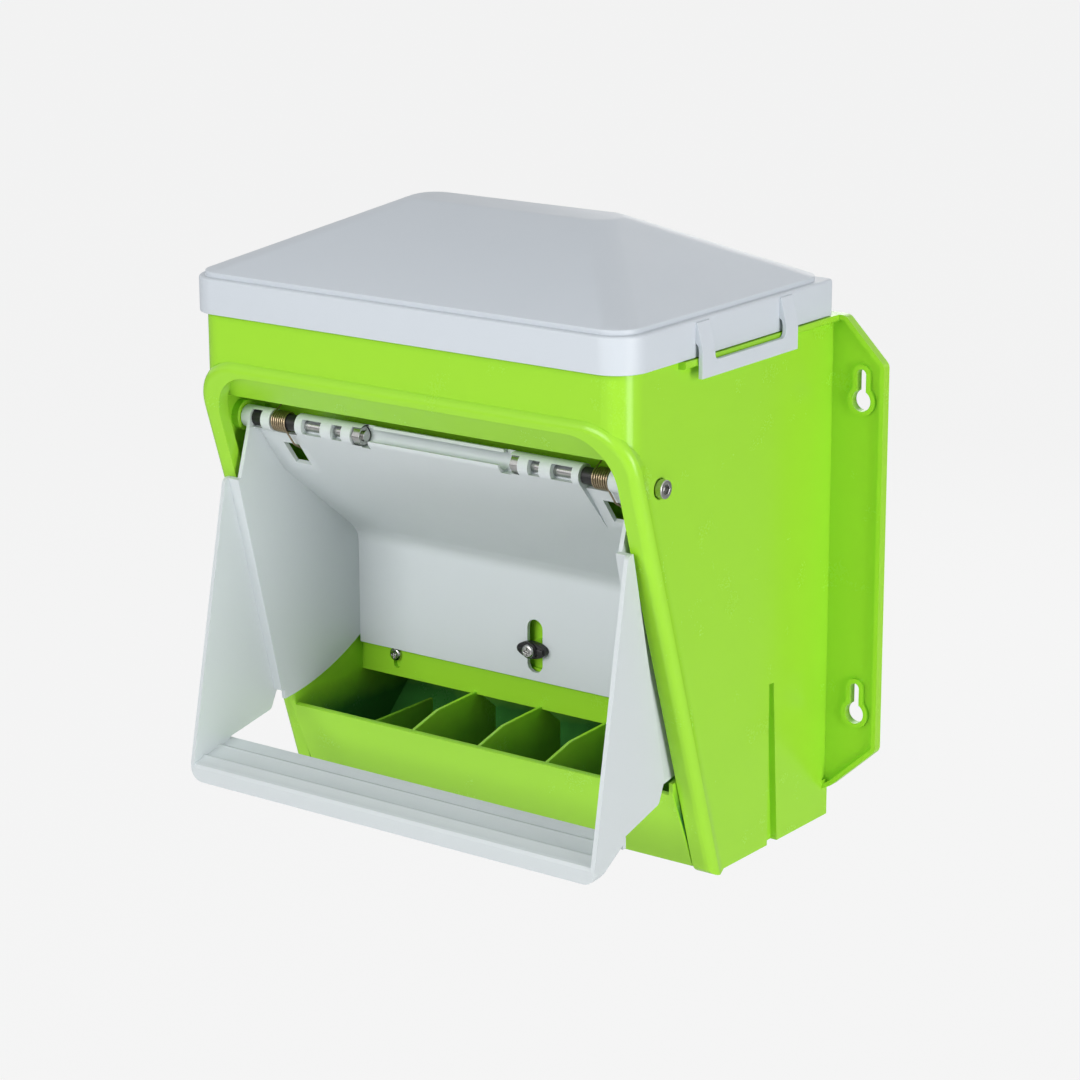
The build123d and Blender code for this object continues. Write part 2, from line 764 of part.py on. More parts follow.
def make_perch():
    half = perch_half_width
    back, first, second = perch_back, perch_first_rib, perch_second_rib
    front, foot = perch_front, perch_front_foot
    rise = perch_groove
    top = [
        back,
        (first[0] + 2.2, first[1] - rise + 0.4), (first[0] + 0.8, first[1]),
        (first[0] - 0.8, first[1] - 0.2), (first[0] - 2.2, first[1] - rise - 0.2),
        (second[0] + 2.2, second[1] - rise + 0.6), (second[0] + 0.8, second[1]),
        (second[0] - 0.8, second[1] - 0.2), (second[0] - 2.4, second[1] - rise - 0.6),
        (front[0] + 2.6, front[1] + 0.9), (front[0] + 0.8, front[1]), (front[0], front[1] - 2), foot,
    ]
    wall = perch_wall
    under = [
        (foot[0] + wall, foot[1]), (front[0] + wall, front[1] - wall - 1.2),
        (second[0], second[1] - rise - wall), (first[0], first[1] - rise - wall),
        (back[0] - wall, back[1] - 1 - wall),
        (back[0] - wall, back[1] - perch_back_height), (back[0], back[1] - perch_back_height),
    ]
    bar = side_prism(top + under, -half, half)
    pitch = 2 * half / (perch_ribs + 1)
    rib = [
        (back[0] - wall / 2, back[1] - wall), (back[0] - wall / 2, back[1] - perch_back_height),
        (foot[0] + wall / 2, foot[1] + 1.5), (front[0] + wall / 2, front[1] - wall),
        (second[0], second[1] - wall), (first[0], first[1] - wall),
    ]
    for index in range(1, perch_ribs + 1):
        start = -half + index * pitch - perch_rib_wall / 2
        bar += side_prism(rib, start, start + perch_rib_wall)
    return bar


def make_flap():
    flap = hinge_rod(-barrel_half_length, barrel_half_length, barrel_radius)
    flap += make_hood() + both_sides(make_brow()) + round_ends(both_sides(make_wing()) + make_perch())
    slot = slot_face(slot_width, slot_length)
    flap -= front_prism(Pos(0, slot_height) * slot, hood_rear_y + 10, hood_rear_y - 10)
    slot_corners = [
        ceiling_point(spring_slot_top, -3), ceiling_point(spring_slot_top, flap_wall + 3),
        ceiling_point(spring_slot_foot, flap_wall + 3), ceiling_point(spring_slot_foot, -3),
    ]
    spring_slot = side_prism(slot_corners, spring_slot_start, spring_gap_end)
    return flap - both_sides(make_barrel_hollow() + spring_slot)


def make_strip():
    back = hood_rear_y + flap_wall
    foot = swing_height(strip_radius, back + strip_thickness)
    strip = Box(
        2 * strip_half_width, strip_thickness, strip_height, align=(Align.CENTER, Align.MIN, Align.MIN)
    )
    return Pos(0, back, foot) * strip


# Hinge hardware, drawn on the right
def make_hinge_screw():
    seat = body_half_width - head_recess_depth
    head = rod_x(seat, seat + screw_head_height, hinge_y, hinge_height, screw_head_radius)
    head = fillet(head.edges().group_by(Axis.X)[-1], 0.6)
    socket = Pos(hinge_y, hinge_height) * RegularPolygon(screw_socket_flats / 2, 6, major_radius=False)
    socket_foot = seat + screw_head_height - screw_socket_depth
    head -= extrude(Plane.YZ.offset(socket_foot) * socket, screw_socket_depth + 1)
    return head + rod_x(seat - screw_length, seat, hinge_y, hinge_height, screw_radius)


def make_hinge_nut():
    face = Pos(hinge_y, hinge_height) * RegularPolygon(nut_flats / 2, 6, major_radius=False)
    nut = extrude(Plane.YZ.offset(nut_position) * face, nut_height)
    end = nut_position + nut_height
    cap = rod_x(nut_position, end, hinge_y, hinge_height, nut_flats / sqrt(3) - 0.25)
    return (nut & cap) - rod_x(nut_position - 1, end + 1, hinge_y, hinge_height, screw_radius)


def make_bush():
    end = barrel_half_length + hinge_boss_gap
    start = spring_gap_start + bush_end_gap
    bush = rod_x(start, end, hinge_y, hinge_height, bush_radius)
    return bush - rod_x(start - 1, end + 1, hinge_y, hinge_height, screw_radius + running_clearance)


# Torsion spring, drawn on the right: its coil and two straight legs in one unbroken wire
def biarc(start, start_way, end, end_way):
    """Two arcs that join two points and keep their directions."""
    v = end - start
    c = v.dot(v)
    b = v.dot(start_way + end_way)
    a = 2 * (1 - start_way.dot(end_way))
    reach = (-b + sqrt(b * b + a * c)) / a
    joint = (start + start_way * reach + end - end_way * reach) * 0.5
    first = TangentArc(start, joint, tangent=start_way)
    second = TangentArc(joint, end, tangent=first % 1)
    return [first, second]


def coil_point(turn, coil_start):
    angle = coil_start_angle + 2 * pi * turn
    return Vector(
        coil_start + spring_wire / 2 + spring_pitch * turn,
        hinge_y + spring_mean_radius * cos(angle),
        hinge_height + spring_mean_radius * sin(angle),
    )


def coil_way(turn):
    angle = coil_start_angle + 2 * pi * turn
    radius = spring_mean_radius
    rise = 0 if turn in (0, coil_turns) else spring_pitch / (2 * pi)
    return Vector(rise, -radius * sin(angle), radius * cos(angle)).normalized()


def make_spring(coil_start):
    """Coil with a leg under the housing's soffit and a bent leg through the slot of the ceiling."""
    edges = []
    start = coil_point(0, coil_start)
    edges.append(Line(start - coil_way(0) * spring_body_leg, start))
    quarters = round(coil_turns * 4)
    stops = [coil_turns * index / quarters for index in range(quarters + 1)]
    for here, there in zip(stops, stops[1:]):
        edges.extend(biarc(
            coil_point(here, coil_start), coil_way(here), coil_point(there, coil_start), coil_way(there),
        ))
    end = coil_point(coil_turns, coil_start)
    way = coil_way(coil_turns)
    bend_start = end + way * spring_flap_leg
    inward = Vector(1, 0, 0).cross(way).normalized()
    turn = radians(spring_flap_bend)
    bend_end = bend_start + way * spring_flap_bend_radius * sin(turn)
    bend_end += inward * spring_flap_bend_radius * (1 - cos(turn))
    edges.append(Line(end, bend_start))
    bend = TangentArc(bend_start, bend_end, tangent=way)
    edges.append(bend)
    edges.append(Line(bend_end, bend_end + (bend % 1) * spring_flap_hook))
    path = Wire(edges)
    section = Plane(origin=path @ 0, z_dir=path % 0) * Circle(spring_wire / 2)
    return sweep(section, path=path)


def report_spring():
    samples = [coil_point(index / 60, spring_start) for index in range(int(coil_turns * 60) + 1)]
    gap = min(
        (samples[j] - samples[i]).length
        for i in range(len(samples)) for j in range(i + 30, len(samples))
    ) - spring_wire
    print("torsion spring turns", round(coil_turns, 3), "least gap to itself", round(gap, 3))


# Turning lock
def make_lock():
    back = hood_rear_y - lock_gap
    front = back - lock_thickness
    face = Pos(0, lock_height) * Ellipse(lock_length / 2, lock_width / 2)
    hub = Pos(0, lock_height) * Circle(lock_width / 2)
    knob = front_prism(face, back, front + lock_rib_height)
    knob += front_prism(hub, back, front)
    for x in (-1, 1):
        grip = Pos(x * lock_length * 0.31, lock_height) * Rectangle(lock_length * 0.26, lock_width * 0.3)
        knob += front_prism(grip, back, front + lock_rib_height / 3)
    return knob - rod_y(0, lock_height, back + 1, front - 1, small_screw_radius + running_clearance)


def make_lock_washer():
    back = hood_rear_y - lock_gap + lock_washer_thickness
    ring = rod_y(0, lock_height, back, back - lock_washer_thickness, lock_washer_radius)
    return ring - rod_y(0, lock_height, back + 1, back - 2, small_screw_radius + running_clearance)


# Lid
def rounded_level(half, front, rear, height, radius):
    return Plane.XY.offset(height) * rounded_plan(half, front, rear, radius, radius)


def lid_roof(inset, drop):
    base = lid_skirt_top + lid_step_height - drop
    half = lid_half_width - lid_step - inset
    front = lid_front_y + lid_step + inset
    rear = lid_rear_y - lid_step - inset
    round_base = lid_corner - lid_step - inset / 2
    ridge = lid_ridge_round - inset
    top_half = lid_ridge_half_length + ridge
    lower = rounded_level(half, front, rear, base, round_base)
    top = lid_ridge_height - drop
    upper = rounded_level(top_half, lid_ridge_y - ridge, lid_ridge_y + ridge, top, ridge - 0.05)
    return loft([lower, upper], ruled=True)


def make_lid():
    skirt = plan_prism(
        rounded_plan(lid_half_width, lid_front_y, lid_rear_y, lid_corner, lid_rear_corner),
        lid_foot, lid_skirt_top,
    )
    skirt = fillet(skirt.edges().group_by(Axis.Z)[-1], lid_skirt_round)
    half = lid_half_width - lid_step
    front = lid_front_y + lid_step
    rear = lid_rear_y - lid_step
    round_base = lid_corner - lid_step
    step = plan_prism(
        rounded_plan(half, front, rear, round_base, round_base),
        lid_skirt_top - 1, lid_skirt_top + lid_step_height,
    )
    roof = lid_roof(0, 0)
    shell = skirt + step + roof
    edges = shell.edges().group_by(Axis.Z)[-1]
    shell = fillet(edges, lid_crown_round)
    inner_foot = hopper_top + lid_seat_gap
    inner = plan_prism(
        rounded_plan(
            lid_half_width - lid_wall, lid_front_y + lid_wall, lid_rear_y - lid_wall, lid_corner - lid_wall,
            lid_rear_corner - lid_wall,
        ),
        lid_foot - 1, inner_foot,
    )
    seat = 2 * lid_wall + 1
    inner += plan_prism(
        rounded_plan(half - seat, front + seat, rear - seat, round_base - seat / 2, round_base - seat / 2),
        inner_foot - 1, lid_skirt_top + lid_step_height - lid_wall + 0.5,
    )
    inner += lid_roof(seat, lid_wall + 0.2)
    return shell - inner


# Lid latch, drawn on the right: a frame on two gussets that grips the ledge bar
def make_latch():
    inner = lid_half_width + latch_gap
    outer = inner + latch_wall
    bar = Box(latch_wall, latch_rear_y - latch_front_y, latch_bar_height,
              align=(Align.MIN, Align.MIN, Align.MIN))
    latch = Pos(inner, latch_front_y, latch_foot) * bar
    hook_top = lid_foot - ledge_gap - ledge_height - latch_hook_gap
    hook = polygon([
        (inner + 0.5, hook_top), (inner - latch_hook_reach, hook_top),
        (inner - latch_hook_reach, hook_top - 0.6), (inner + 0.5, hook_top - latch_hook_height),
    ])
    latch += front_prism(hook, latch_rear_y - latch_post_width, latch_front_y + latch_post_width)
    arch_drop = latch_arch - latch_shoulder
    post = polygon([
        (lid_half_width, latch_arch), (lid_half_width, lid_skirt_top - lid_skirt_round),
        (lid_half_width + latch_lead, lid_skirt_top - lid_skirt_round), (outer - latch_lead, latch_arch),
        (outer, latch_shoulder), (outer, latch_foot), (inner, latch_foot), (inner, latch_shoulder),
        (inner - 0.15 * latch_gap, latch_arch - 0.45 * arch_drop),
        (inner - 0.5 * latch_gap, latch_arch - 0.15 * arch_drop),
    ])
    latch += front_prism(post, latch_front_y + latch_post_width, latch_front_y)
    latch += front_prism(post, latch_rear_y, latch_rear_y - latch_post_width)
    corners = [
        e for e in latch.edges().filter_by(Axis.X)
        if abs(e.center().Z - latch_foot - latch_bar_height) < 0.1 and
        latch_front_y + 1 < e.center().Y < latch_rear_y - 1 and e.length > 0.9 * latch_wall
    ]
    return fillet(corners, latch_corner)


# Slanting plane of the rim, with its origin at the middle of the top edge
ceiling_run = hypot(ceiling_knee[0] - ceiling_start[0], ceiling_knee[1] - ceiling_start[1])
rim_plane = Plane(origin=(0, rim_top_y, rim_top_height), x_dir=(1, 0, 0), z_dir=(0, -1, -rim_slope))

trough_end_radius = hood_side_radius + trough_end_gap
keyhole_heights = (keyhole_low_height, keyhole_low_height + keyhole_spacing_z)
origin_height = keyhole_low_height + keyhole_spacing_z / 2

# The coil starts at the front of the hinge below the soffit, and ends where its second leg
# runs straight down along the inner face of the ceiling
coil_start_angle = pi / 2 + radians(spring_body_leg_lean)
ceiling_angle = atan2(ceiling_knee[1] - ceiling_start[1], ceiling_knee[0] - ceiling_start[0])
coil_end_angle = ceiling_angle - pi / 2 + 2 * pi
coil_turns = spring_turns + (coil_end_angle - coil_start_angle) / (2 * pi)
coil_length = spring_pitch * coil_turns + spring_wire
spring_mean_radius = bush_radius + spring_bush_gap + spring_wire / 2
spring_start = spring_gap_end - spring_end_gap - coil_length
spring_slot_start = spring_start - spring_slot_gap

housing = make_housing()
trough = make_trough()
trough_screw = pan_screw(
    trough_screw_x, trough_screw_height, inner_wall_y - trough_rail_gap - trough_wall, small_screw_length
)
pieces = {
    "housing": housing,
    "hopper_chute": make_chute(housing),
    "trough": trough,
    "trough_dividers": make_dividers(trough),
    "trough_screws": both_sides(trough_screw),
    "flap": make_flap(),
    "sealing_strip": make_strip(),
    "lock_knob": make_lock(),
    "lock_washer": make_lock_washer(),
    "lock_screw": pan_screw(0, lock_height, hood_rear_y - lock_gap - lock_thickness, small_screw_length + 2),
    "lid": make_lid(),
}
for side, name in ((left_side, "left"), (right_side, "right")):
    pieces["hinge_screw_" + name] = placed(make_hinge_screw(), side)
    pieces["hinge_nut_" + name] = placed(make_hinge_nut(), side)
    pieces["hinge_bush_" + name] = placed(make_bush(), side)
    coil_start = spring_start if side == right_side else -spring_start - coil_length
    pieces["torsion_spring_" + name] = make_spring(coil_start)
    pieces["lid_latch_" + name] = placed(make_latch(), side)

report_spring()
for name, piece in pieces.items():
    lowered = Pos(0, 0, -origin_height) * piece
    lowered.label = name
    export_step(lowered, "parts/" + name + ".step")
    print(name, round(lowered.volume), len(lowered.solids()))
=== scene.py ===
# %% [markdown]
# # A wall-mounted poultry feeder
# The feeder is a lime green hopper with a pale lid, and a pale flap whose perch a hen pushes
# down to reach the trough. Its pieces come from a construction model, in metres, with the
# origin at the centre of the four keyholes. This lesson loads that model as a fixed frame,
# and gives each piece the edges, surface and finish of the real one.

# %% Load the frame
import json
import math

import bmesh
import bpy
from mathutils import Matrix, Vector

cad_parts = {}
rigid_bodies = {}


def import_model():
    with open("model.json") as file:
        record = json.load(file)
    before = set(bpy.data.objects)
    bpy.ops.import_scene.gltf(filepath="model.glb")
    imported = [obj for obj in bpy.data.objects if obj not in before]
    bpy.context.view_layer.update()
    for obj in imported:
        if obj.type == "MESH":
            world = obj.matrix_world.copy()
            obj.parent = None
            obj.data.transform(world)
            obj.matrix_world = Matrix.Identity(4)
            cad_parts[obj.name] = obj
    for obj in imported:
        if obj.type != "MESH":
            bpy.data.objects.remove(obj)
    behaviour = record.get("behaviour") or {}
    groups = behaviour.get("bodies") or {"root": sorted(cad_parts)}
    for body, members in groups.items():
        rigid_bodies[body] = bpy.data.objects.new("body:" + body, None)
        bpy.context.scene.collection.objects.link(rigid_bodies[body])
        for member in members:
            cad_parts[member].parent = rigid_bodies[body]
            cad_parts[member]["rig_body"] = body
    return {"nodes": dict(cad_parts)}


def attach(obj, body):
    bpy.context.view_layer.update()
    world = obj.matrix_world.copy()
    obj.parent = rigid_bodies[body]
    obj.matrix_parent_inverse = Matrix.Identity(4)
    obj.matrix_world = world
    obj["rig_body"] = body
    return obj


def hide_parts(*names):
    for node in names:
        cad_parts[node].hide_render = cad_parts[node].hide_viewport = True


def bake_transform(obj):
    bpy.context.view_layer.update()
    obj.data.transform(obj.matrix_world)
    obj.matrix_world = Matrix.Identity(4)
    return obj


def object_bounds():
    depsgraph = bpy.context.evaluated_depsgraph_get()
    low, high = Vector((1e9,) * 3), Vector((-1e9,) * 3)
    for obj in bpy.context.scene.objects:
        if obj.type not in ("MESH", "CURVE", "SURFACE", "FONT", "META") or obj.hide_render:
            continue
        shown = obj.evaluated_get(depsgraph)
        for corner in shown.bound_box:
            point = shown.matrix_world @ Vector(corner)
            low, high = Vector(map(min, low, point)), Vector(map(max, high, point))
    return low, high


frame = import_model()
cad_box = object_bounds()
nodes = frame["nodes"]
print("pieces in the frame:", len(nodes))


# %% [markdown]
# ## A small language for materials
# A finish is a network of nodes. It could be wired by hand in the node editor, but a script
# can be read and repeated. Scripting each node is long-winded, so one class wraps a socket
# and lets plain arithmetic add the Math nodes. The amount that a socket gives varies over
# the surface, and a mask is such an amount that runs from 0 to 1.

# %% Sockets that do arithmetic
class Amount:
    """A socket of a node tree that can be added, taken away and multiplied."""

    def __init__(self, tree, socket):
        self.tree = tree
        self.socket = socket

    def math(self, operation, first, second, clamp=False):
        """A Math node on two numbers or amounts."""
        settings = {"operation": operation, "use_clamp": clamp}
        node = self.tree.add("ShaderNodeMath", settings, {0: first, 1: second})
        return Amount(self.tree, node.outputs[0])

    def __add__(self, other):
        return self.math("ADD", self, other)

    __radd__ = __add__

    def __sub__(self, other):
        return self.math("SUBTRACT", self, other)

    def __rsub__(self, other):
        return self.math("SUBTRACT", other, self)

    def __mul__(self, other):
        return self.math("MULTIPLY", self, other)

    __rmul__ = __mul__

    def above(self, edge, softness):
        """0 below an edge and 1 above it, with a soft step between."""
        return self.math("DIVIDE", self - (edge - softness), 2 * softness, clamp=True)


print("a socket can now be added and multiplied")


# %% [markdown]
# A second class holds a node tree, of a material or of the world. Its one method adds any
# other node from its type, its settings and the values or links of its sockets. Most sockets
# go by name. Those of Math and Mix nodes share names, so they go by number.

# %% Node trees that grow by one method
mix_first_colour, mix_second_colour, mix_result = 6, 7, 2


class NodeTree:
    """The empty node tree of a material or a world, ready for nodes."""

    def __init__(self, owner):
        owner.use_nodes = True
        self.owner = owner
        self.nodes = owner.node_tree.nodes
        self.links = owner.node_tree.links
        self.nodes.clear()

    def add(self, kind, settings, inputs):
        """Adds a node, then its settings, then the values or links of its sockets."""
        node = self.nodes.new(kind)
        for name, value in settings.items():
            setattr(node, name, value)
        for name, value in inputs.items():
            if isinstance(value, Amount):
                value = value.socket
            if isinstance(value, bpy.types.NodeSocket):
                self.links.new(value, node.inputs[name])
            else:
                node.inputs[name].default_value = value
        return node

    def mix_shaders(self, share, first, second):
        """One shader where the share is 0 and another where it is 1."""
        return self.add("ShaderNodeMixShader", {}, {0: share, 1: first.outputs[0], 2: second.outputs[0]})


print("a node tree can now be grown")


# %% [markdown]
# A finish is the node tree of one material, with the patterns that plastics and metals share:
# noise on the piece's own coordinates, a mix of two colours and a bump. Pictures wrapped round
# the piece could show the same, but noise needs no file, has no seams and stays sharp from
# close by. The coordinates are the object's, so a pattern stays on its piece when that moves.

# %% Patterns of a finish
class Finish(NodeTree):
    """A material under construction."""

    def __init__(self, name):
        super().__init__(bpy.data.materials.new(name))
        self.place = self.add("ShaderNodeTexCoord", {}, {}).outputs["Object"]

    def noise(self, scale, detail, roughness, place=None):
        """A cloudy pattern that swings evenly about 0.5; a larger scale makes finer clouds."""
        inputs = {
            "Vector": self.place if place is None else place,
            "Scale": scale, "Detail": detail, "Roughness": roughness,
        }
        return Amount(self, self.add("ShaderNodeTexNoise", {}, inputs).outputs["Fac"])

    def blend(self, share, first, second):
        """The first colour where the share is 0 and the second where it is 1."""
        inputs = {"Factor": share, mix_first_colour: first, mix_second_colour: second}
        return self.add("ShaderNodeMix", {"data_type": "RGBA"}, inputs).outputs[mix_result]

    def bump(self, height, distance, strength, under=None):
        """A relief as deep as the distance, laid over another one where that is given."""
        inputs = {"Height": height, "Distance": distance, "Strength": strength}
        if under is not None:
            inputs["Normal"] = under
        return self.add("ShaderNodeBump", {}, inputs).outputs[0]

    def surface(self, inputs):
        """The finished material, with these sockets of its surface shader."""
        shader = self.add("ShaderNodeBsdfPrincipled", {}, inputs)
        self.add("ShaderNodeOutputMaterial", {}, {"Surface": shader.outputs[0]})
        return self.owner


print("finishes are ready to be mixed")


# %% [markdown]
# ## Painted shade in the trough
# The inside of the trough lies in the shade of the hopper, and that shade is painted into its
# colour: a deeper green than the front, most of all towards the floor. The shade could be
# painted by hand on an unwrapped trough. A mask by place is simpler, because two planes bound
# the painted shade: the slope of the front wall and the level of the lip. Patches of noise
# keep the mask's edges from being ruled lines.

# %% Where the trough's shade is painted
# A deep green paints the shade that the hopper casts inside the trough.
painted_shade_green = (0.010, 0.140, 0.032, 1)
into_trough_y, into_trough_z = 0.9211, 0.3893
front_wall = -0.1662
front_fade, front_ragged = 0.0004, 0.001
lip_depth = 0.113
lip_fade, lip_ragged = 0.011, 0.012


# The mask of the painted shade inside the trough, bounded by its front wall and its lip.
def painted_shade_places(finish, patches):
    """1 on the inside of the trough, and 0 on its front and above its lip."""
    axes = finish.add("ShaderNodeSeparateXYZ", {}, {"Vector": finish.place})
    y = Amount(finish, axes.outputs["Y"])
    z = Amount(finish, axes.outputs["Z"])
    reach = y * into_trough_y + z * into_trough_z + patches * front_ragged
    depth = patches * lip_ragged - z
    return reach.above(front_wall, front_fade) * depth.above(lip_depth, lip_fade)


print("the trough is damp below", lip_depth, "m under the origin")


# %% [markdown]
# ## Moulded plastic
# The hopper, trough, flap and lid are injection moulded. Such a surface isn't perfectly flat:
# the steel mould leaves a fine orange peel, the melt cools with slow waves, and the colour
# drifts slightly with the wall's thickness. Handling and dust leave the gloss uneven in
# patches. These marks are far too small to model, so bump and roughness stand for them. One
# recipe with other colours gives every plastic of the feeder.

# %% The recipe for moulded plastic
noise_middle = 0.5
drift_share, patch_share = 0.6, 0.4
tone_strength, speck_strength = 0.35, 0.10
patch_gloss, speck_gloss = 0.14, 0.06


def moulded_plastic(name, colour, deep, gloss, peel=0.00002, grain=1400.0, shadowed=0.0):
    """Plastic in two close colours, with an orange peel as deep as peel and as fine as grain.

    Inside the trough, the last argument is the share of a deep green that paints the shade there.
    """
    finish = Finish(name)
    drift = finish.noise(scale=7.0, detail=2.0, roughness=0.5)
    patches = finish.noise(scale=38.0, detail=4.0, roughness=0.6)
    specks = finish.noise(scale=900.0, detail=2.0, roughness=0.6)
    tone = (drift * drift_share + patches * patch_share).above(noise_middle, softness=0.22)
    speckle = specks.above(0.66, softness=0.05)
    base = finish.blend(tone * tone_strength + speckle * speck_strength, colour, deep)
    # Inside the trough, painted shade: a share of the deep green.
    if shadowed:
        base = finish.blend(painted_shade_places(finish, patches) * shadowed, base, painted_shade_green)
    rough = gloss + (patches - noise_middle) * patch_gloss + (specks - noise_middle) * speck_gloss
    swell = finish.noise(scale=16.0, detail=1.0, roughness=0.4)
    dimples = finish.noise(scale=grain, detail=3.0, roughness=0.55)
    slow_waves = finish.bump(swell, distance=0.0006, strength=0.25)
    orange_peel = finish.bump(dimples, distance=peel, strength=0.8, under=slow_waves)
    return finish.surface({
        "Base Color": base, "Roughness": rough, "Normal": orange_peel,
        "IOR": 1.46, "Specular IOR Level": 0.45,
    })


print("the colour drifts by up to", tone_strength + speck_strength, "of the way to the deeper one")


# %% [markdown]
# Each plastic has a main colour and a slightly deeper one that it drifts to. The lid is a
# little duller and has a coarser peel than the flap. The inside of the trough takes painted
# shade. The dividers catch more light than the rest of the trough, so they take less of it.

# %% The feeder's plastics
lime = {"colour": (0.352, 0.725, 0.036, 1), "deep": (0.318, 0.690, 0.030, 1), "gloss": 0.25}
green = moulded_plastic("lime_green_plastic", **lime)
# The trough and its dividers get painted shade on their insides, in a deep green.
trough_green = moulded_plastic("trough_green_plastic", **lime, shadowed=0.92)
divider_green = moulded_plastic("divider_green_plastic", **lime, shadowed=0.45)
pale = moulded_plastic(
    "pale_grey_plastic", colour=(0.636, 0.686, 0.706, 1), deep=(0.606, 0.658, 0.678, 1), gloss=0.38,
)
lid_grey = moulded_plastic(
    "lid_grey_plastic", colour=(0.612, 0.662, 0.716, 1), deep=(0.584, 0.636, 0.692, 1), gloss=0.42,
    peel=0.00004, grain=900.0,
)
black = moulded_plastic(
    "satin_black_plastic", colour=(0.012, 0.012, 0.013, 1), deep=(0.03, 0.03, 0.032, 1), gloss=0.36,
)
plastics = (green, trough_green, divider_green, pale, lid_grey, black)
print("plastics:", [plastic.name for plastic in plastics])


# %% [markdown]
# ## Metal
# The screws and nuts are bright zinc-plated steel with fine turning marks and a little
# unevenness. The springs are drawn wire with a bronze sheen. Noise squeezed along X gives both
# their marks, which run round the hinge's axis as the lathe's tool and the wire do.

# %% Steel and spring wire
mark_scale = (2600, 500, 500)
blotch_shade = 0.72


def marked_metal(name, colour, rough):
    """Metal with fine marks round the X axis and slightly darker blotches."""
    finish = Finish(name)
    squeezed = finish.add("ShaderNodeMapping", {}, {"Vector": finish.place, "Scale": mark_scale}).outputs[0]
    marks = finish.noise(scale=1.0, detail=2.0, roughness=0.5, place=squeezed)
    blotches = finish.noise(scale=420.0, detail=3.0, roughness=0.6)
    darker = tuple(part * blotch_shade for part in colour[:3]) + (1,)
    return finish.surface({
        "Base Color": finish.blend(blotches.above(0.55, softness=0.2) * 0.5, colour, darker),
        "Roughness": rough + (blotches - noise_middle) * 0.2,
        "Metallic": 1.0,
        "Normal": finish.bump(marks, distance=0.00002, strength=0.5),
    })


steel = marked_metal("bright_steel", (0.50, 0.50, 0.49, 1), rough=0.22)
wire = marked_metal("drawn_bronze_wire", (0.42, 0.33, 0.22, 1), rough=0.34)
print("metals:", steel.name, wire.name)


# %% [markdown]
# ## Softened edges
# No moulded or turned edge is sharp, and a rounded edge catches the light as a thin line. The
# construction model keeps its edges crisp, because tiny fillets make such a model slow and
# fragile. So each piece gets a copy here, which stands for the crisp piece in every picture.
# The model comes as loose triangles, on which a bevel finds no shared edge to round, so bmesh
# first merges their corners and joins them back to flat faces.

# %% A copy with joined faces
same_point = 1e-6
flat_angle = math.radians(0.6)
edge_angle = math.radians(38)


def in_scene(name, data):
    """An object of the scene that holds a mesh, a lamp or a camera."""
    holder = bpy.data.objects.new(name, data)
    bpy.context.scene.collection.objects.link(holder)
    return holder


def mesh_object(name, work, material):
    """An object of the scene from a bmesh, in one material."""
    mesh = bpy.data.meshes.new(name)
    work.to_mesh(mesh)
    work.free()
    mesh.materials.append(material)
    return in_scene(name, mesh)


def joined_copy(node, material):
    """A smooth copy of a construction piece, with its triangles joined to flat faces."""
    work = bmesh.new()
    work.from_mesh(nodes[node].data)
    bmesh.ops.remove_doubles(work, verts=work.verts, dist=same_point)
    bmesh.ops.dissolve_limit(
        work, angle_limit=flat_angle, verts=work.verts, edges=work.edges,
        use_dissolve_boundaries=False,
    )
    bmesh.ops.dissolve_degenerate(work, edges=work.edges, dist=same_point)
    piece = mesh_object(node + "_moulded", work, material)
    piece.data.shade_smooth()
    piece.data.set_sharp_from_angle(angle=edge_angle)
    return piece


print("edges are sharp past", round(math.degrees(edge_angle)), "degrees")


# %% [markdown]
# A bevel modifier rounds the sharp edges, with smaller radii on smaller pieces. On pieces with
# broad flat walls, a second modifier lets the large faces decide how a shared corner is
# shaded, so a wall stays even right up to its rounded edge. Each copy then hides its
# construction piece and rides on the same moving body.

# %% Rounded edges
millimetre = 0.001
dressed = []


def replace_crisp(piece, node):
    """Hides a construction piece, whose place the piece takes."""
    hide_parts(node)
    dressed.append(node)
    print("dressed", node, "faces", len(piece.data.polygons))


def softened(node, material, radius, broad=False):
    """A copy with edges rounded by a radius in millimetres, on the same body."""
    source = nodes[node]
    piece = joined_copy(node, material)
    bevel = piece.modifiers.new("soft_edges", "BEVEL")
    bevel.width = radius * millimetre
    bevel.segments = 2
    bevel.limit_method = "ANGLE"
    bevel.angle_limit = edge_angle
    bevel.use_clamp_overlap = True
    bevel.harden_normals = False
    bevel.miter_outer = "MITER_ARC"
    if broad:
        even = piece.modifiers.new("even_normals", "WEIGHTED_NORMAL")
        even.keep_sharp = True
    replace_crisp(piece, node)
    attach(piece, source["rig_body"])


# %% [markdown]
# ## Hopper and trough
# The hopper's housing and the chute inside it are one green moulding on the real feeder, and
# so are the trough and its dividers. The thin dividers can only take a small radius.

# %% The green mouldings
softened("housing", green, 0.5, broad=True)
softened("hopper_chute", green, 0.4, broad=True)
softened("trough", trough_green, 0.4, broad=True)
softened("trough_dividers", divider_green, 0.3, broad=True)
print("green mouldings:", len(dressed))


# %% [markdown]
# ## Flap, lid and lock
# The hood, its wings and the perch are one pale moulding, with a thin strip behind the foot of
# the hood. The lid has a latch on each side that grips a bar of the hopper. A small black knob
# turns in the slot of the hood and locks the flap.

# %% The flap, the lid and the knob
softened("flap", pale, 0.4, broad=True)
softened("sealing_strip", pale, 0.2)
for node in ("lid", "lid_latch_left", "lid_latch_right"):
    softened(node, lid_grey, 0.4)
softened("lock_knob", black, 0.4)
print("pieces dressed so far:", len(dressed))
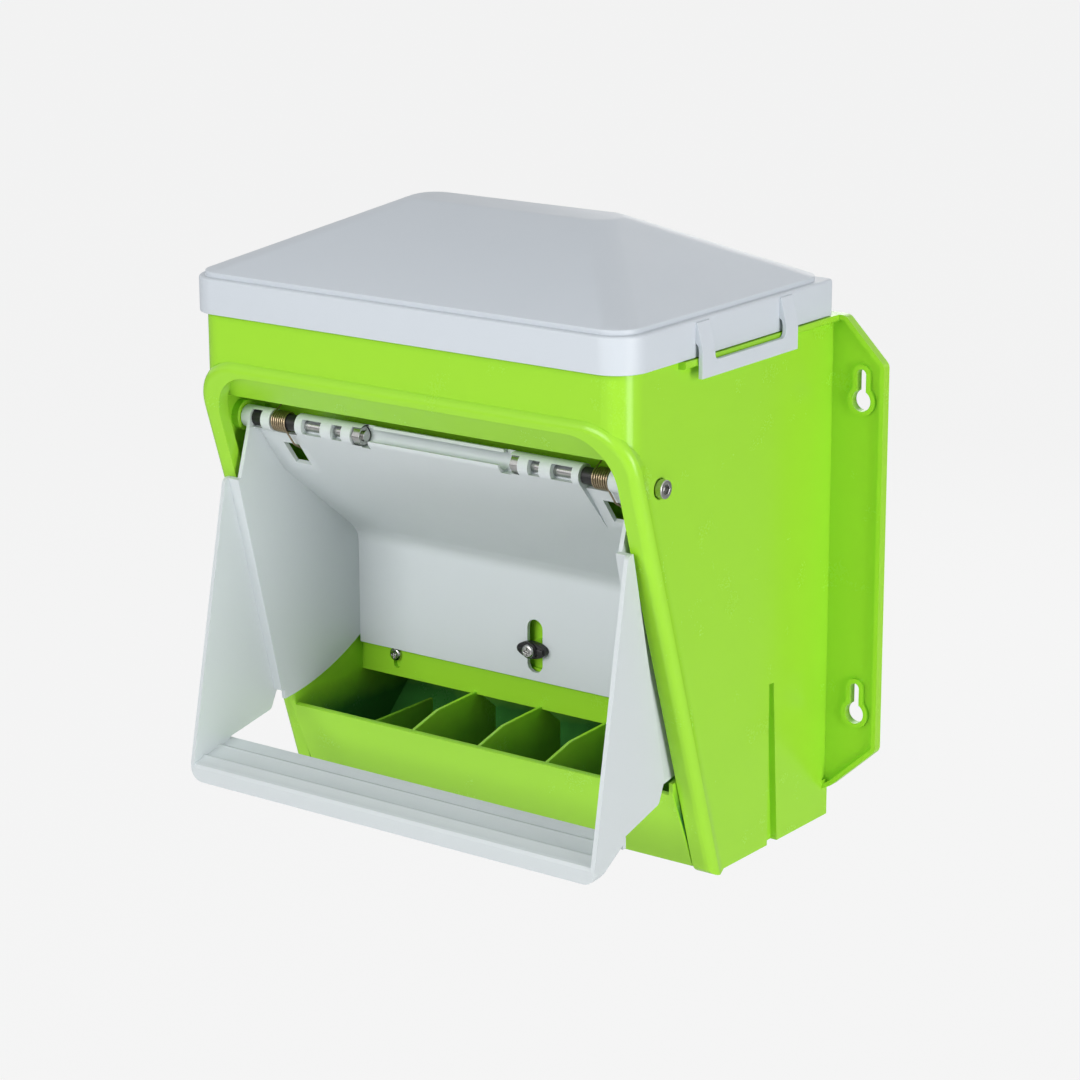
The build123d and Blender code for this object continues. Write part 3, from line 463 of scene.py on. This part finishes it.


# %% [markdown]
# ## Hinge
# The flap swings on two screws through black bushes, with a spring round each bush. A spring
# has one leg on the housing and one on the flap, so its coil winds up as the flap swings. A
# chain of bones could wind it. Here no step winds the coil: each spring is a smooth copy that
# stays where the frame puts it, and the table below gives where its coil starts and ends along
# X, but nothing reads it. The wire is round, so it takes no bevel.

# %% Bushes and springs
coil_inner_end, coil_outer_end = 0.1033, 0.1112
wound = {
    "torsion_spring_left": (-coil_outer_end, -coil_inner_end),
    "torsion_spring_right": (coil_inner_end, coil_outer_end),
}
for node in ("hinge_bush_left", "hinge_bush_right"):
    softened(node, black, 0.2)
for node, (first, last) in wound.items():
    piece = joined_copy(node, wire)
    replace_crisp(piece, node)
    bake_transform(piece)
print("springs:", list(wound))


# %% [markdown]
# ## Screws, nuts and the washer
# What is left in the frame is small turned steel, with edges that are just broken. A loop over
# the frame takes it all, and the printed numbers show that no piece is left crisp.

# %% The steel pieces
for node in nodes:
    if node not in dressed:
        softened(node, steel, 0.15)
print("pieces dressed:", len(dressed), "of", len(nodes))


# %% [markdown]
# ## Light, floor and camera
# The picture has even, soft light on the front and the side, with the lid slightly darker. A
# pale surround fills the shadows. If it lit the feeder as brightly as it looks, it would wash
# them out, so it gives a weak light and shows the camera and the reflections a brighter
# grey. A Light Path node tells the two apart.

# %% The surround
backdrop = (0.896, 0.896, 0.896, 1)
sky_white = (0.97, 0.985, 1.0, 1)
fill_strength = 0.24


def surround():
    """A world that is seen as pale grey and lights the feeder weakly."""
    tree = NodeTree(bpy.data.worlds.new("studio"))
    path = tree.add("ShaderNodeLightPath", {}, {})
    to_camera = Amount(tree, path.outputs["Is Camera Ray"])
    in_reflection = Amount(tree, path.outputs["Is Glossy Ray"])
    fill = tree.add("ShaderNodeBackground", {}, {"Color": sky_white, "Strength": fill_strength})
    seen = tree.add("ShaderNodeBackground", {}, {"Color": backdrop, "Strength": 1.0})
    mix = tree.mix_shaders(to_camera + in_reflection, fill, seen)
    tree.add("ShaderNodeOutputWorld", {}, {"Surface": mix.outputs[0]})
    bpy.context.scene.world = tree.owner


surround()
print("world:", bpy.context.scene.world.name)


# %% [markdown]
# The feeder hangs on a wall, so the floor lies well below it and only catches a faint shadow.
# For the camera the floor mostly glows in the surround's grey, so that no horizon shows, and
# a little of its lit paper keeps it from being flat.

# %% The floor
paper_white = (0.86, 0.86, 0.86, 1)
glow_strength, glow_share = 1.05, 0.93
floor_drop = 0.6
floor_reach = 30


def pale_floor(height):
    """A wide floor at a height."""
    tree = NodeTree(bpy.data.materials.new("pale_floor"))
    path = tree.add("ShaderNodeLightPath", {}, {})
    to_camera = Amount(tree, path.outputs["Is Camera Ray"])
    paper = tree.add("ShaderNodeBsdfDiffuse", {}, {"Color": paper_white})
    glow = tree.add("ShaderNodeEmission", {}, {"Color": backdrop, "Strength": glow_strength})
    mix = tree.mix_shaders(to_camera * glow_share, paper, glow)
    tree.add("ShaderNodeOutputMaterial", {}, {"Surface": mix.outputs[0]})
    work = bmesh.new()
    bmesh.ops.create_grid(work, x_segments=1, y_segments=1, size=floor_reach)
    bmesh.ops.translate(work, verts=work.verts, vec=(0, 0, height))
    floor = mesh_object("floor", work, tree.owner)


feeder_foot = cad_box[0][2]
pale_floor(feeder_foot - floor_drop)
print("floor below the feeder by", floor_drop, "m")


# %% [markdown]
# One broad lamp stands in front, and a tall one stands to the right, where it lights the side
# and draws a line down the rounded corners. A weak lamp hangs above the lid, and another
# stands behind the feeder to light its back, which the picture doesn't show. Large lamps are
# chosen over small ones, because the size of a lamp is what makes its shadows soft.

# %% Lamps
lamp_white = (1.0, 0.99, 0.98)
feeder_middle = Vector((0.0, -0.1, 0.0))


def lamp(name, place, size, power):
    """A rectangular lamp that is aimed at the middle of the feeder, with its power in watts."""
    light = bpy.data.lights.new(name, "AREA")
    light.shape = "RECTANGLE"
    light.size, light.size_y = size
    light.energy = power
    light.color = lamp_white
    holder = in_scene(name, light)
    holder.location = place
    holder.rotation_euler = (feeder_middle - Vector(place)).to_track_quat("-Z", "Y").to_euler()


lamp("front_lamp", place=(-0.3, -2.7, 1.0), size=(1.7, 1.5), power=50)
lamp("right_lamp", place=(2.7, -0.6, 0.2), size=(1.1, 1.8), power=45)
lamp("top_lamp", place=(0.2, 0.1, 2.6), size=(1.5, 1.5), power=4)
lamp("rear_lamp", place=(-0.9, 2.6, 0.9), size=(1.6, 1.6), power=16)
print("lamps:", [light.name for light in bpy.data.lights])


# %% [markdown]
# ## Camera
# The camera stands to the right of the feeder and looks slightly down, through a long lens.
# A constraint could aim it, but it would level the view, and this one is tipped by a hair. So
# its place and its three axes are given as numbers. A camera looks along its own -Z axis with
# +Y up, so two of the axes change sign.

# %% Camera
def camera_at(place, right, down, forward, focal):
    """The scene's camera, with the focal length of its lens in millimetres."""
    data = bpy.data.cameras.new("view_camera")
    data.sensor_width = 36.0
    data.lens = focal
    data.clip_start = 0.05
    data.clip_end = 200.0
    camera = in_scene("view_camera", data)
    axes = Matrix((right, -Vector(down), -Vector(forward))).transposed().to_4x4()
    camera.matrix_world = Matrix.Translation(place) @ axes
    bpy.context.scene.camera = camera


camera_at(
    place=(1.03003, -1.46671, 0.48365),
    right=(0.80396, 0.59467, -0.00400),
    down=(0.15667, -0.21830, -0.96322),
    forward=(-0.57368, 0.77377, -0.26867),
    focal=108.247,
)
print("lens", bpy.context.scene.camera.data.lens, "mm")


# %% [markdown]
# ## Finish
# The plain view transform keeps colours as they are written.

# %% Settings
bpy.context.scene.view_settings.view_transform = "Standard"
